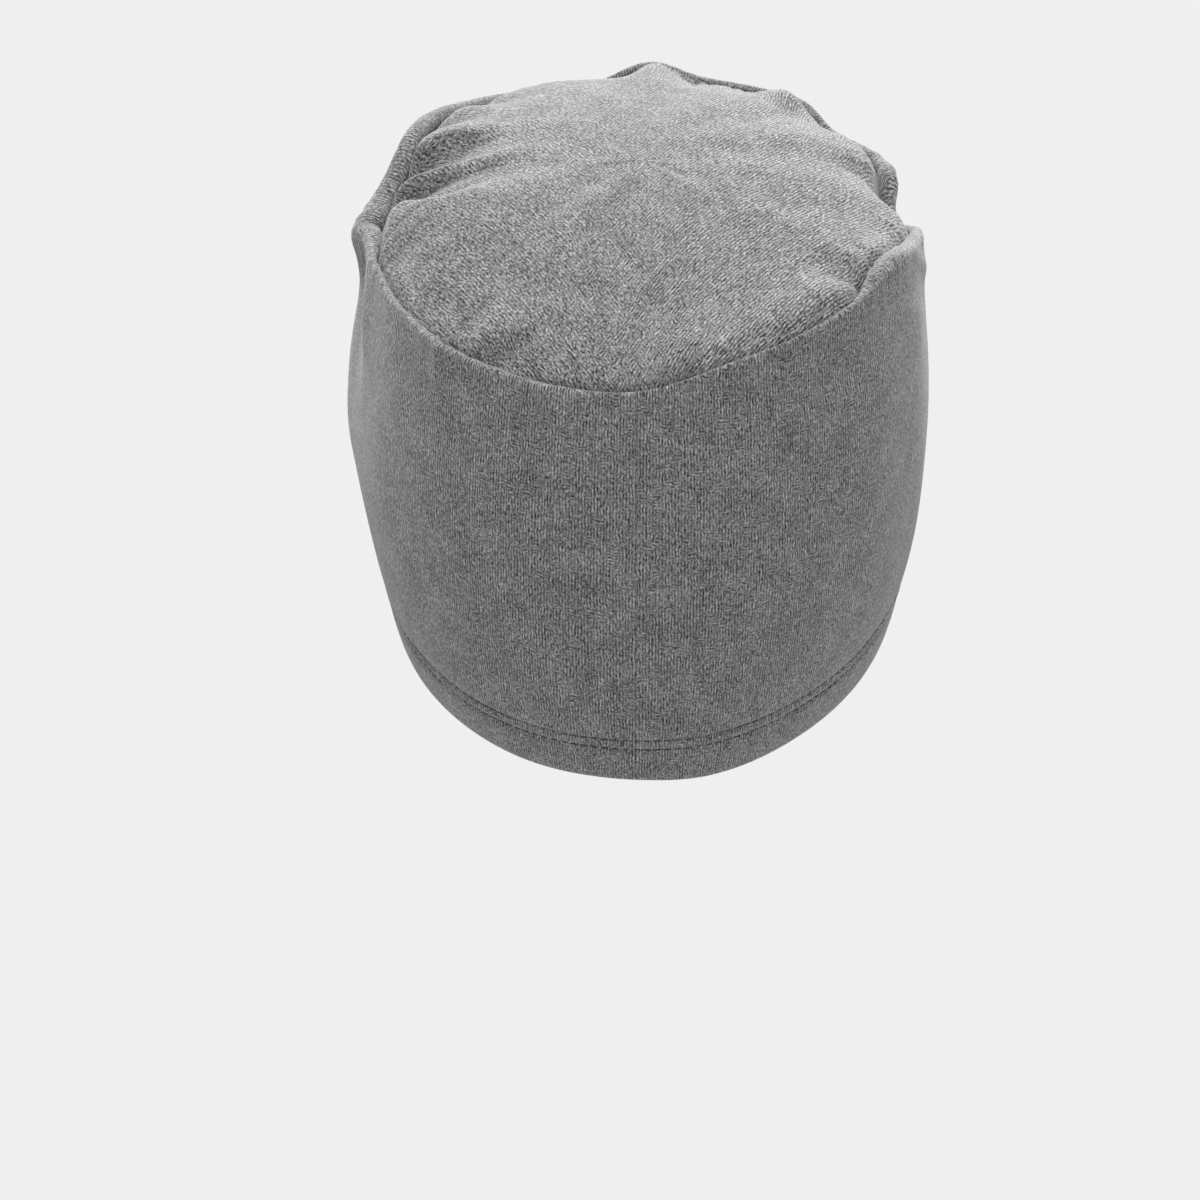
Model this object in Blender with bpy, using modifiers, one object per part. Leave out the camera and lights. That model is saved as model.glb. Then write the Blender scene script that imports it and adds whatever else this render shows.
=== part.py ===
"""Soft jersey sleep cap, standing as a head fills it: a gathered crown panel sewn to a tall side panel.

Metres, +Z up, the forehead side towards -Y and the nape towards +Y. The origin is where the top of the
head touches the underside of the crown. Angles round the cap start at the nape and grow towards +X.
"""

import math

import bmesh
import bpy
from mathutils import Vector

# Cloth, and the open space left inside its turned edges and between the two panels
FABRIC = 0.0010
HEM_SPACE = 0.0008
SEAM_SPACE = 0.0014
PANEL_GAP = 0.0003

# Lower edge, which drops from the forehead to the nape
HEM_HALF_WIDTH = 0.0730
HEM_HALF_LENGTH = 0.0925
HEM_TILT_DEG = 15.5
HEM_TURN_UP = 0.0135

# Seam between the side panel and the crown panel
SEAM_HALF_WIDTH = 0.0815
SEAM_HALF_LENGTH = 0.0930
SEAM_TILT_DEG = 10.3
SEAM_ALLOWANCE = 0.0060

# Side panel: its height at the ears, and how far it swells past a straight wall at the ears, nape and
# forehead. A swell skew below 1 puts the widest place below half height.
SIDE_HEIGHT = 0.1085
EAR_FULLNESS = 0.0060
NAPE_FULLNESS = 0.0085
FOREHEAD_FULLNESS = 0.0040
SWELL_SKEW = 0.85
EGG_SHARE = 0.045

# Crown panel. A higher roundness keeps its top flat for longer, and a lower shoulder makes its rim steeper.
CROWN_RISE = 0.0190
CROWN_ROUNDNESS = 2.2
CROWN_SHOULDER = 0.70

# Size of a full fold, how much wider it gets towards the crown's middle, how soon it is at its highest,
# and how fast the wander of the seam dies out across the crown
FOLD_HEIGHT = 0.0045
FOLD_WIDTH = 0.0095
FOLD_SPREAD = 0.8
FOLD_SKEW = 0.45
WANDER_FADE = 4

# Points round the cap, closer together over the forehead where the gathers are, and the heights of its
# rings of points: from the hem to the seam, and from the seam to just short of the crown's middle
POINTS_ROUND = 84
POINTS_CROWDING = 0.36
TURN_STEPS = 4
HEM_RINGS = (1, 0.5, 0)
SIDE_RINGS = (0, 0.09, 0.2, 0.35, 0.5, 0.65, 0.8, 0.91, 1)
CROWN_RINGS = (1, 0.985, 0.955, 0.915, 0.86, 0.79, 0.7, 0.59, 0.45, 0.28, 0.12)

# How the seam wanders from its plain tilted ring: lift as a share of SIDE_HEIGHT, push outwards as a
# share of SEAM_HALF_WIDTH.
SEAM_WANDER = (
    {"angle": 0, "lift": -0.012, "push": 0.000},
    {"angle": 18, "lift": -0.010, "push": 0.000},
    {"angle": 45, "lift": 0.004, "push": -0.014},
    {"angle": 72, "lift": -0.014, "push": -0.050},
    {"angle": 86, "lift": -0.040, "push": -0.020},
    {"angle": 97, "lift": -0.050, "push": 0.044},
    {"angle": 108, "lift": -0.015, "push": 0.006},
    {"angle": 117, "lift": 0.066, "push": -0.012},
    {"angle": 128, "lift": 0.074, "push": 0.006},
    {"angle": 140, "lift": 0.050, "push": 0.004},
    {"angle": 154, "lift": 0.029, "push": 0.000},
    {"angle": 168, "lift": 0.012, "push": 0.000},
    {"angle": 181, "lift": 0.047, "push": 0.012},
    {"angle": 193, "lift": 0.033, "push": 0.000},
    {"angle": 207, "lift": 0.023, "push": 0.010},
    {"angle": 218, "lift": 0.018, "push": 0.006},
    {"angle": 227, "lift": -0.015, "push": -0.014},
    {"angle": 240, "lift": -0.014, "push": 0.016},
    {"angle": 249, "lift": -0.018, "push": 0.004},
    {"angle": 256, "lift": -0.072, "push": -0.022},
    {"angle": 269, "lift": -0.024, "push": -0.016},
    {"angle": 285, "lift": 0.050, "push": -0.020},
    {"angle": 299, "lift": 0.104, "push": -0.020},
    {"angle": 312, "lift": 0.086, "push": -0.010},
    {"angle": 324, "lift": 0.064, "push": -0.004},
    {"angle": 341, "lift": 0.036, "push": 0.000},
)

# Gathers and drag folds of the crown: where each starts on the seam, how far round it has swept where
# it dies out, how near the crown's middle that is (1 is the seam), its height as a share of FOLD_HEIGHT
# and its width at the seam as a share of FOLD_WIDTH.
CROWN_FOLDS = (
    {"angle": 38, "sweep": 14, "ends": 0.45, "height": -0.25, "width": 1.6},
    {"angle": 84, "sweep": 10, "ends": 0.60, "height": 0.35, "width": 1.0},
    {"angle": 97, "sweep": 30, "ends": 0.50, "height": 0.55, "width": 0.7},
    {"angle": 104, "sweep": 30, "ends": 0.42, "height": -0.95, "width": 0.6},
    {"angle": 112, "sweep": 28, "ends": 0.40, "height": 0.80, "width": 0.6},
    {"angle": 118, "sweep": 26, "ends": 0.50, "height": -0.75, "width": 0.5},
    {"angle": 125, "sweep": 24, "ends": 0.50, "height": 0.85, "width": 0.6},
    {"angle": 133, "sweep": 16, "ends": 0.60, "height": -0.80, "width": 0.6},
    {"angle": 148, "sweep": 6, "ends": 0.70, "height": 0.35, "width": 0.8},
    {"angle": 163, "sweep": 4, "ends": 0.62, "height": 0.35, "width": 1.1},
    {"angle": 176, "sweep": 0, "ends": 0.72, "height": -0.30, "width": 0.5},
    {"angle": 183, "sweep": 0, "ends": 0.70, "height": 0.45, "width": 0.6},
    {"angle": 190, "sweep": -4, "ends": 0.66, "height": -0.65, "width": 0.7},
    {"angle": 205, "sweep": -6, "ends": 0.72, "height": -0.20, "width": 0.7},
    {"angle": 220, "sweep": -4, "ends": 0.66, "height": 0.60, "width": 0.8},
    {"angle": 229, "sweep": -8, "ends": 0.60, "height": -0.65, "width": 0.7},
    {"angle": 241, "sweep": -10, "ends": 0.62, "height": 0.45, "width": 0.8},
    {"angle": 253, "sweep": -12, "ends": 0.60, "height": -0.50, "width": 0.7},
    {"angle": 268, "sweep": -12, "ends": 0.66, "height": 0.30, "width": 0.8},
    {"angle": 302, "sweep": -6, "ends": 0.66, "height": -0.45, "width": 0.8},
    {"angle": 318, "sweep": 0, "ends": 0.60, "height": 0.20, "width": 1.2},
    {"angle": 350, "sweep": -10, "ends": 0.62, "height": 0.25, "width": 1.0},
)

# Dents and soft ridges of the side panel: how high their middle is (0 is the hem, 1 the seam), height as
# a share of FOLD_HEIGHT, width as a share of FOLD_WIDTH and length as a share of SIDE_HEIGHT.
SIDE_FOLDS = (
    {"angle": 95, "middle": 0.86, "height": -0.60, "width": 1.8, "length": 0.13},
    {"angle": 78, "middle": 0.84, "height": 0.28, "width": 0.6, "length": 0.16},
    {"angle": 66, "middle": 0.80, "height": -0.16, "width": 0.9, "length": 0.18},
    {"angle": 262, "middle": 0.84, "height": -0.30, "width": 1.6, "length": 0.12},
    {"angle": 305, "middle": 0.92, "height": -0.20, "width": 1.8, "length": 0.08},
)

HEM_TILT = math.radians(HEM_TILT_DEG)
SEAM_TILT = math.radians(SEAM_TILT_DEG)
HEM_FOLD_RADIUS = (FABRIC + HEM_SPACE) / 2
SEAM_ROLL_RADIUS = (FABRIC + SEAM_SPACE) / 2
CROWN_INSET = 2 * SEAM_ROLL_RADIUS + FABRIC + PANEL_GAP
HEM_BELOW_ORIGIN = SIDE_HEIGHT + CROWN_RISE - FABRIC / 2
UP = Vector((0, 0, 1))


def wander(angle, column):
    """One column of SEAM_WANDER at an angle in radians, as a smooth closed curve through its rows."""
    rows = SEAM_WANDER
    count = len(rows)
    degrees = math.degrees(angle) % 360
    i = max(n for n in range(count) if rows[n]["angle"] <= degrees)
    before, start, end, after = (rows[(i + n) % count][column] for n in (-1, 0, 1, 2))
    width = (rows[(i + 1) % count]["angle"] - rows[i]["angle"]) % 360
    t = (degrees - rows[i]["angle"]) / width
    bend = 2 * before - 5 * start + 4 * end - after
    return start + 0.5 * t * (end - before + t * (bend + t * (3 * (start - end) + after - before)))


def oval(angle, half_width, half_length):
    """A head's egg-shaped section, a little wider behind the ears than at the temples."""
    x = half_width * math.sin(angle) * (1 + EGG_SHARE * math.cos(angle))
    return Vector((x, half_length * math.cos(angle), 0))


def hem_ring(angle):
    point = oval(angle, HEM_HALF_WIDTH, HEM_HALF_LENGTH)
    return point - UP * (point.y * math.tan(HEM_TILT) + HEM_BELOW_ORIGIN)


def seam_plane(y):
    return SIDE_HEIGHT - HEM_BELOW_ORIGIN - y * math.tan(SEAM_TILT)


def seam_ring(angle):
    push = SEAM_HALF_WIDTH * wander(angle, "push")
    point = oval(angle, SEAM_HALF_WIDTH + push, SEAM_HALF_LENGTH + push)
    return point + UP * (seam_plane(point.y) + SIDE_HEIGHT * wander(angle, "lift"))


def fullness(angle):
    end = NAPE_FULLNESS if math.cos(angle) > 0 else FOREHEAD_FULLNESS
    return EAR_FULLNESS + (end - EAR_FULLNESS) * math.cos(angle) ** 2


def side_fold_height(share, angle):
    """How far the dents and ridges of the side panel push it outwards at a share of its height."""
    total = 0
    for fold in SIDE_FOLDS:
        off = (angle - math.radians(fold["angle"]) + math.pi) % math.tau - math.pi
        across = off * SEAM_HALF_WIDTH / (FOLD_WIDTH * fold["width"])
        along = (share - fold["middle"]) / fold["length"]
        total += fold["height"] * math.exp(-across * across - along * along)
    return FOLD_HEIGHT * total


def side_point(share, angle):
    """The middle of the side panel's wall. Share is 0 at the hem and 1 at the seam."""
    swell = math.sin(math.pi * max(share, 0) ** SWELL_SKEW) * fullness(angle)
    swell += side_fold_height(share, angle)
    outwards = Vector((math.sin(angle), math.cos(angle), 0))
    return hem_ring(angle).lerp(seam_ring(angle), share) + outwards * swell


def side_frame(share, angle):
    """A point of the side panel, with the way up the cloth and the way straight out of it."""
    step = 0.01
    point = side_point(share, angle)
    low, high = max(share - step, 0), min(share + step, 1)
    climb = (side_point(high, angle) - side_point(low, angle)).normalized()
    along = side_point(share, angle + step) - side_point(share, angle - step)
    return point, climb, climb.cross(along).normalized()


def layer(share, angle, inset):
    """A point of a layer of cloth that lies inside the side panel."""
    point, _, outwards = side_frame(share, angle)
    return point - outwards * inset


def turn(share, angle, radius, way):
    """Points round the half turn that folds the side panel's edge to the inside."""
    point, climb, outwards = side_frame(share, angle)
    centre = point - outwards * radius
    for i in range(1, TURN_STEPS):
        bend = math.pi * i / TURN_STEPS
        yield centre + radius * (math.cos(bend) * outwards + math.sin(bend) * way * climb)


def side_line(angle):
    """The side panel's cloth from the raw edge of its hem, up the outside, to its seam allowance."""
    side_length = (side_point(1, angle) - side_point(0, angle)).length
    hem_top = HEM_TURN_UP / side_length
    allowance_end = 1 - SEAM_ALLOWANCE / side_length
    line = [layer(hem_top * share, angle, 2 * HEM_FOLD_RADIUS) for share in HEM_RINGS]
    line += reversed(list(turn(0, angle, HEM_FOLD_RADIUS, -1)))
    line += [side_point(share, angle) for share in SIDE_RINGS]
    line += turn(1, angle, SEAM_ROLL_RADIUS, 1)
    line += [layer(share, angle, 2 * SEAM_ROLL_RADIUS) for share in (1, allowance_end)]
    return line


def fold_height(share, angle):
    """How far the gathers lift or lower the crown at a share of the way from its middle to the seam."""
    total = 0
    radius = share * (SEAM_HALF_WIDTH + SEAM_HALF_LENGTH) / 2
    for fold in CROWN_FOLDS:
        travelled = (1 - share) / (1 - fold["ends"])
        if travelled >= 1:
            continue
        middle = math.radians(fold["angle"] + fold["sweep"] * travelled)
        off = (angle - middle + math.pi) % math.tau - math.pi
        across = off * radius / (FOLD_WIDTH * fold["width"] * (1 + FOLD_SPREAD * travelled))
        along = math.sin(math.pi * travelled**FOLD_SKEW)
        total += fold["height"] * math.exp(-across * across) * along
    return FOLD_HEIGHT * total


def crown_point(share, angle):
    """The middle of the crown panel's wall. Share is 0 at the crown's middle and 1 at the seam."""
    edge = layer(1, angle, CROWN_INSET)
    point = Vector((edge.x * share, edge.y * share, 0))
    wandering = (edge.z - seam_plane(edge.y)) * share**WANDER_FADE
    rise = CROWN_RISE * (1 - share**CROWN_ROUNDNESS) ** CROWN_SHOULDER
    return point + UP * (seam_plane(point.y) + wandering + rise + fold_height(share, angle))


def crown_line(angle):
    """The crown panel's cloth from its seam allowance to just short of its middle."""
    side_length = (side_point(1, angle) - side_point(0, angle)).length
    allowance_end = 1 - SEAM_ALLOWANCE / side_length
    line = [layer(allowance_end, angle, CROWN_INSET)]
    return line + [crown_point(share, angle) for share in CROWN_RINGS]


def angles_round():
    for i in range(POINTS_ROUND):
        even = math.tau * i / POINTS_ROUND
        yield even + POINTS_CROWDING * math.sin(even)


def loft(name, lines, middle, collection, material):
    """An open cloth surface through lines of points round the cap, given its wall by Solidify."""
    mesh = bpy.data.meshes.new(name)
    work = bmesh.new()
    columns = [[work.verts.new(point) for point in line] for line in lines]
    for here, beside in zip(columns, columns[1:] + columns[:1]):
        for i in range(len(here) - 1):
            work.faces.new((here[i], beside[i], beside[i + 1], here[i + 1]))
    if middle is not None:
        tip = work.verts.new(middle)
        for here, beside in zip(columns, columns[1:] + columns[:1]):
            work.faces.new((here[-1], beside[-1], tip))
    bmesh.ops.recalc_face_normals(work, faces=work.faces)
    work.to_mesh(mesh)
    work.free()
    mesh.materials.append(material)
    mesh.shade_smooth()
    cloth = bpy.data.objects.new(name, mesh)
    collection.objects.link(cloth)
    wall = cloth.modifiers.new("cloth wall", "SOLIDIFY")
    wall.thickness = FABRIC
    wall.offset = 0
    wall.use_even_offset = True
    return cloth


def jersey(name, colour):
    material = bpy.data.materials.new(name)
    material.use_nodes = True
    shader = material.node_tree.nodes["Principled BSDF"]
    shader.inputs["Base Color"].default_value = (*colour, 1)
    shader.inputs["Roughness"].default_value = 0.95
    shader.inputs["Metallic"].default_value = 0
    return material


def main():
    for old in list(bpy.data.objects):
        bpy.data.objects.remove(old)
    cap = bpy.data.collections.new("sleep_cap")
    bpy.context.scene.collection.children.link(cap)
    side_lines = [side_line(angle) for angle in angles_round()]
    crown_lines = [crown_line(angle) for angle in angles_round()]
    loft("side_panel", side_lines, None, cap, jersey("side jersey", (0.15, 0.15, 0.152)))
    top = crown_point(0, 0)
    loft("crown_panel", crown_lines, top, cap, jersey("crown jersey", (0.19, 0.19, 0.193)))


main()
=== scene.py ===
# %% [markdown]
# # A jersey sleep cap, made in Blender
# The cap is sewn from two pieces of fine grey jersey. A tall side panel goes once round and is hemmed
# below. A crown panel closes the top, and where it is fuller than the panel below it lies in gathers.
# The cap is drawn here as it looks when it is worn: held out from inside, open below.
#
# This lesson builds both pieces as fine meshes over a plain construction model of the same cap, sews the
# hem with Geometry Nodes, and gives the jersey its knitted, speckled finish.

# %% Load the construction model
import math

import bmesh
import bpy
import numpy as np
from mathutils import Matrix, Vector


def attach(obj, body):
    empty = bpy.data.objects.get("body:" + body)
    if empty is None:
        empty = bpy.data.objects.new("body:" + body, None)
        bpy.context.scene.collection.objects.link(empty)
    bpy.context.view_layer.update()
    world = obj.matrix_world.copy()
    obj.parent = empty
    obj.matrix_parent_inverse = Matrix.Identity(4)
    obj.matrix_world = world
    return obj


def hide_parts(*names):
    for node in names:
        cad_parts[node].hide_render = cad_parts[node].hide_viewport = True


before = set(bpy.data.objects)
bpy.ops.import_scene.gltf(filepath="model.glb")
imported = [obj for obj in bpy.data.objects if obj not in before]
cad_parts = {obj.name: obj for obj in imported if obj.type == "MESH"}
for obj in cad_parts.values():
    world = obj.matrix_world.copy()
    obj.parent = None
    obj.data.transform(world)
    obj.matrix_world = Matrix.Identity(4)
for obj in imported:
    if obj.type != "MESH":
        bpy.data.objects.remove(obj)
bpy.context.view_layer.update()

# %% [markdown]
# ## The sizes of the cap
# A sewn thing is easiest to change when its sizes have names. These are the sizes that the construction
# model has too, so that both fit together: two tilted ovals, one for the hem and one for the seam, and
# how far the cloth swells between them. Everything is in metres.

# %% Named sizes
FABRIC = 0.0010
HEM_SPACE = 0.0008
SEAM_SPACE = 0.0014
PANEL_GAP = 0.0003
HEM_HALF_WIDTH = 0.0730
HEM_HALF_LENGTH = 0.0925
HEM_TILT = math.radians(15.5)
HEM_TURN_UP = 0.0135
SEAM_HALF_WIDTH = 0.0815
SEAM_HALF_LENGTH = 0.0930
SEAM_TILT = math.radians(10.3)
SEAM_ALLOWANCE = 0.0060
SIDE_HEIGHT = 0.1085
EAR_FULLNESS = 0.0060
NAPE_FULLNESS = 0.0085
FOREHEAD_FULLNESS = 0.0040
SWELL_SKEW = 0.85
EGG_SHARE = 0.045
CROWN_RISE = 0.0190
CROWN_ROUNDNESS = 2.2
CROWN_SHOULDER = 0.70
WANDER_FADE = 4
HEM_FOLD_RADIUS = (FABRIC + HEM_SPACE) / 2
SEAM_ROLL_RADIUS = (FABRIC + SEAM_SPACE) / 2
HEM_BELOW_ORIGIN = SIDE_HEIGHT + CROWN_RISE - FABRIC / 2
MILLIMETRE = 0.001
print("hem, round about:", round(math.pi * (HEM_HALF_WIDTH + HEM_HALF_LENGTH), 3), "m")

# %% [markdown]
# ## Where the seam wanders
# A gathered seam never lies in one plane. Each row below is a place round the cap: the angle from the
# nape, how far the seam lifts there as a share of the side panel's height, and how far it is pushed out
# as a share of the seam's half width. The names of its columns come first. A smooth closed curve goes
# through the rows, and the same two helpers read any other table that goes round the cap.

# %% The seam's table, and a curve through a table
def table(columns, rows):
    """Rows of plain numbers, with each number under the name of its column."""
    return [dict(zip(columns.split(), row)) for row in rows]


SEAM_WANDER = table("angle lift push", (
    (0, -0.038, 0.000),
    (18, -0.037, 0.000),
    (45, -0.020, -0.014),
    (72, -0.025, -0.050),
    (86, -0.040, -0.030),
    (97, -0.050, 0.044),
    (108, -0.015, 0.006),
    (117, 0.060, -0.012),
    (128, 0.060, 0.006),
    (140, 0.034, 0.004),
    (154, 0.006, 0.000),
    (168, -0.006, 0.000),
    (181, 0.047, 0.012),
    (193, 0.019, 0.000),
    (207, 0.017, 0.008),
    (218, 0.018, 0.006),
    (227, -0.015, -0.014),
    (240, -0.014, 0.016),
    (249, -0.018, 0.010),
    (256, -0.084, -0.056),
    (269, -0.024, -0.016),
    (285, 0.050, -0.020),
    (299, 0.097, -0.020),
    (312, 0.070, -0.010),
    (324, 0.055, -0.004),
    (341, 0.026, 0.000),
))


def round_the_cap(rows, column, angle):
    """One column of a table at many angles in radians, as a smooth closed curve through its rows."""
    count = len(rows)
    places = np.array([row["angle"] for row in rows], float)
    values = np.array([row[column] for row in rows], float)
    degrees = np.degrees(angle) % 360
    i = np.searchsorted(places, degrees, side="right") - 1
    before, start, end, after = (values[(i + n) % count] for n in (-1, 0, 1, 2))
    first, width, last = ((places[(i + n + 1) % count] - places[(i + n) % count]) % 360 for n in (-1, 0, 1))
    leaving = (end - before) / (first + width) * width
    arriving = (after - start) / (width + last) * width
    t = (degrees - places[i]) / width
    curved = t * t * (3 - 2 * t)
    return (start * (1 - curved) + end * curved + leaving * t * (1 - t) ** 2 + arriving * t * t * (t - 1))


print("seam table:", len(SEAM_WANDER), "places round the cap")

# %% [markdown]
# ## The lip at the seam
# The side panel's edge is turned in, and the crown's edge hides behind it. So the seam shows as a soft
# rolled lip, thick where the gathers push it out and thin at the back. Roll is the roll's radius, drop is
# how deep the crown starts below the lip, and puff is how far the crown swells up just inside it, all in
# millimetres. The stretched cloth presses the roll a little flat.

# %% The lip's table
LIP_FLATNESS = 0.66
LIP = table("angle roll drop puff", (
    (0, 0.7, 1.0, 0.0),
    (12, 1.1, 0.9, 0.0),
    (30, 1.15, 0.4, 0.0),
    (48, 1.15, 1.0, -0.8),
    (60, 0.9, 1.8, -1.8),
    (72, 0.8, 2.2, -2.4),
    (82, 1.0, 2.4, -1.8),
    (89, 2.2, 3.0, -0.2),
    (97, 4.0, 2.4, 0.2),
    (106, 3.3, 2.4, -0.3),
    (115, 2.7, 2.6, -0.3),
    (126, 2.8, 1.4, 0.4),
    (138, 2.4, 1.2, 0.4),
    (150, 1.2, 0.8, 0.4),
    (166, 1.0, 0.8, 0.2),
    (178, 1.5, 1.8, -0.4),
    (186, 1.4, 1.4, 0.0),
    (198, 1.3, 1.4, 0.1),
    (210, 1.4, 1.6, 0.6),
    (226, 1.0, 1.4, 0.9),
    (240, 1.5, 1.9, 0.9),
    (249, 2.3, 2.2, 0.8),
    (257, 0.6, 0.8, 0.8),
    (263, 0.8, 1.0, 0.6),
    (274, 1.6, 1.4, 0.2),
    (292, 2.6, 2.0, -0.4),
    (304, 2.2, 3.6, -1.2),
    (313, 0.8, 2.4, 0.2),
    (325, 0.5, 1.6, 0.6),
    (345, 0.45, 1.6, 0.5),
    (354, 0.5, 1.4, 0.3),
))


def roll_radius(angle):
    return MILLIMETRE * round_the_cap(LIP, "roll", angle)


lip_angles = np.radians(np.arange(0, 360, 5))
print("the lip rolls over", np.round(2e3 * roll_radius(lip_angles).min(), 1), "to",
      np.round(2e3 * roll_radius(lip_angles).max(), 1), "mm wide")

# %% [markdown]
# ## The rings of the hem and the seam
# Both ends of the side panel are egg-shaped rings, a little wider behind the ears than at the temples. The
# hem lies in one tilted plane, and the small table says where it leaves it, up or inwards, in millimetres.
# NumPy works out a whole ring at once, which keeps a fine mesh quick to make: every function below takes
# arrays of angles and gives arrays of points.

# %% The two rings
def oval(angle, half_width, half_length):
    x = half_width * np.sin(angle) * (1 + EGG_SHARE * np.cos(angle))
    return np.stack([x, half_length * np.cos(angle), np.zeros_like(x)], axis=-1)


HEM_WANDER = table("angle lift push", (
    (0, 1.0, 0.0),
    (10, 1.4, 0.0),
    (30, 0.8, -0.3),
    (62, 0.0, -1.9),
    (100, 0.0, 0.0),
    (180, 0.0, 0.0),
    (270, 0.0, 0.3),
    (300, 0.0, -0.8),
    (322, -0.5, -2.1),
    (345, -0.4, -0.3),
))


def hem_ring(angle):
    push = MILLIMETRE * round_the_cap(HEM_WANDER, "push", angle)
    point = oval(angle, HEM_HALF_WIDTH + push, HEM_HALF_LENGTH + push)
    lift = MILLIMETRE * round_the_cap(HEM_WANDER, "lift", angle)
    point[..., 2] = -point[..., 1] * math.tan(HEM_TILT) - HEM_BELOW_ORIGIN + lift
    return point


def seam_plane(y):
    return SIDE_HEIGHT - HEM_BELOW_ORIGIN - y * math.tan(SEAM_TILT)


def seam_ring(angle):
    push = SEAM_HALF_WIDTH * round_the_cap(SEAM_WANDER, "push", angle)
    point = oval(angle, SEAM_HALF_WIDTH + push, SEAM_HALF_LENGTH + push)
    room_for_lip = LIP_FLATNESS * roll_radius(angle) - SEAM_ROLL_RADIUS
    lift = SIDE_HEIGHT * round_the_cap(SEAM_WANDER, "lift", angle) - room_for_lip
    point[..., 2] = seam_plane(point[..., 1]) + lift
    return point


seam_heights = seam_ring(lip_angles)[:, 2]
print("seam, lowest and highest:", np.round([seam_heights.min(), seam_heights.max()], 4))

# %% [markdown]
# ## Dents and ridges of the side panel
# Stretched jersey is smooth, but it keeps a waist under each bunch of gathers, a few soft ridges that run
# down from the seam, and creases where the panel hangs fuller. Each row is one dent or ridge: its angle,
# the middle of it between hem (0) and seam (1), its height, its width round the cap and its length up the
# cloth in millimetres, and how far round it leans, in degrees, over that length.

# %% The side panel's table
SIDE_FOLDS = table("angle middle height width length lean", (
    (95, 0.86, -2.7, 17.1, 14.1),
    (78, 0.84, 1.3, 5.7, 17.4),
    (66, 0.80, -0.7, 8.6, 19.5),
    (88, 0.92, -1.0, 4.0, 9.0, 4),
    (102, 0.95, 0.8, 5.0, 7.0, 6),
    (112, 0.84, -1.0, 5.0, 13.0, -5),
    (128, 0.86, 0.7, 6.0, 14.0, -4),
    (262, 0.84, -1.35, 15.2, 13.0),
    (305, 0.92, -0.9, 17.1, 8.7),
    (250, 0.94, -2.0, 6.0, 8.0),
    (276, 0.93, 0.7, 7.0, 7.0, 10),
    (296, 0.88, 0.5, 9.0, 6.0, 12),
    (318, 0.87, -0.35, 20.0, 4.0, 6),
    (325, 0.80, 0.25, 24.0, 4.5, 8),
    (215, 0.88, -0.8, 6.0, 12.0, 3),
    (193, 0.90, -0.6, 6.0, 12.0, -3),
    (170, 0.90, 0.6, 8.0, 12.0, 3),
    (150, 0.88, -0.5, 7.0, 12.0, 3),
    (90, 0.92, -2.0, 6.0, 6.0),
    (94, 0.42, 2.2, 30.0, 18.0),
    (84, 0.74, -0.9, 20.0, 10.0),
    (96, 0.97, 1.2, 4.0, 5.0),
))


def turned(angle, middle):
    """The way round from one angle to another, between minus and plus half a turn."""
    return (angle - middle + math.pi) % math.tau - math.pi


def side_fold_height(share, angle):
    total = 0
    for fold in SIDE_FOLDS:
        along = (share - fold["middle"]) * SIDE_HEIGHT / (fold["length"] * MILLIMETRE)
        middle = np.radians(fold["angle"] + fold.get("lean", 0) * along)
        across = turned(angle, middle) * SEAM_HALF_WIDTH / (fold["width"] * MILLIMETRE)
        total = total + fold["height"] * np.exp(-across * across - along * along)
    return total * MILLIMETRE


print("side panel:", len(SIDE_FOLDS), "dents and ridges")

# %% [markdown]
# ## Small unevenness
# Real cloth is nowhere quite even. Adding a handful of sine waves with chosen seeds gives a soft wobble
# that closes on itself round the cap and is the same each time the script runs. Near the seam the thread
# also draws the cloth into tiny puckers, which die out within about a centimetre.

# %% Wobble and puckers
def wobble(angle, share, waves_round, waves_up, seed):
    """A smooth random height between about -1 and 1, which closes on itself round the cap."""
    chance = np.random.default_rng(seed)
    total = 0
    waves = 14
    for _ in range(waves):
        turns = chance.integers(waves_round // 2, waves_round * 2)
        climbs = chance.normal(0, waves_up)
        phase = chance.uniform(0, math.tau)
        total = total + np.sin(turns * angle + math.tau * climbs * share + phase)
    return total / math.sqrt(waves)


PUCKER_HEIGHT = 0.28 * MILLIMETRE
PUCKER_REACH = 6 * MILLIMETRE


def puckers(angle, from_seam, seed):
    """The small gathers that the thread draws beside a seam, at a distance from it in metres."""
    uneven = 0.5 + 0.5 * wobble(angle, 0, 7, 0, seed + 1)
    pitch = wobble(angle, 0, 60, 0, seed)
    return PUCKER_HEIGHT * pitch * uneven * np.exp(-(from_seam / PUCKER_REACH) ** 2)


print("wobble at four places:", np.round(wobble(np.radians([0, 90, 180, 270]), 0.5, 5, 1, 3), 2))

# %% [markdown]
# ## The side panel's surface
# A point of the panel lies between the hem ring and the seam ring, pushed out by the head's roundness,
# the folds and the wobble. The hem is stitched through both layers, so each row of stitches pulls a
# shallow groove and the cloth stands up as a soft ridge between the two rows.

# %% The wall of the side panel
STITCH_ROWS = (0.0094, 0.0122)
GROOVE_DEPTH = 0.00065
GROOVE_WIDTH = 0.0007
RIDGE_HEIGHT = 0.0003
DRAWN_IN_DEPTH = 0.0004
DRAWN_IN_WIDTH = 0.004
STITCH_SPACING = 0.0030


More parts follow.
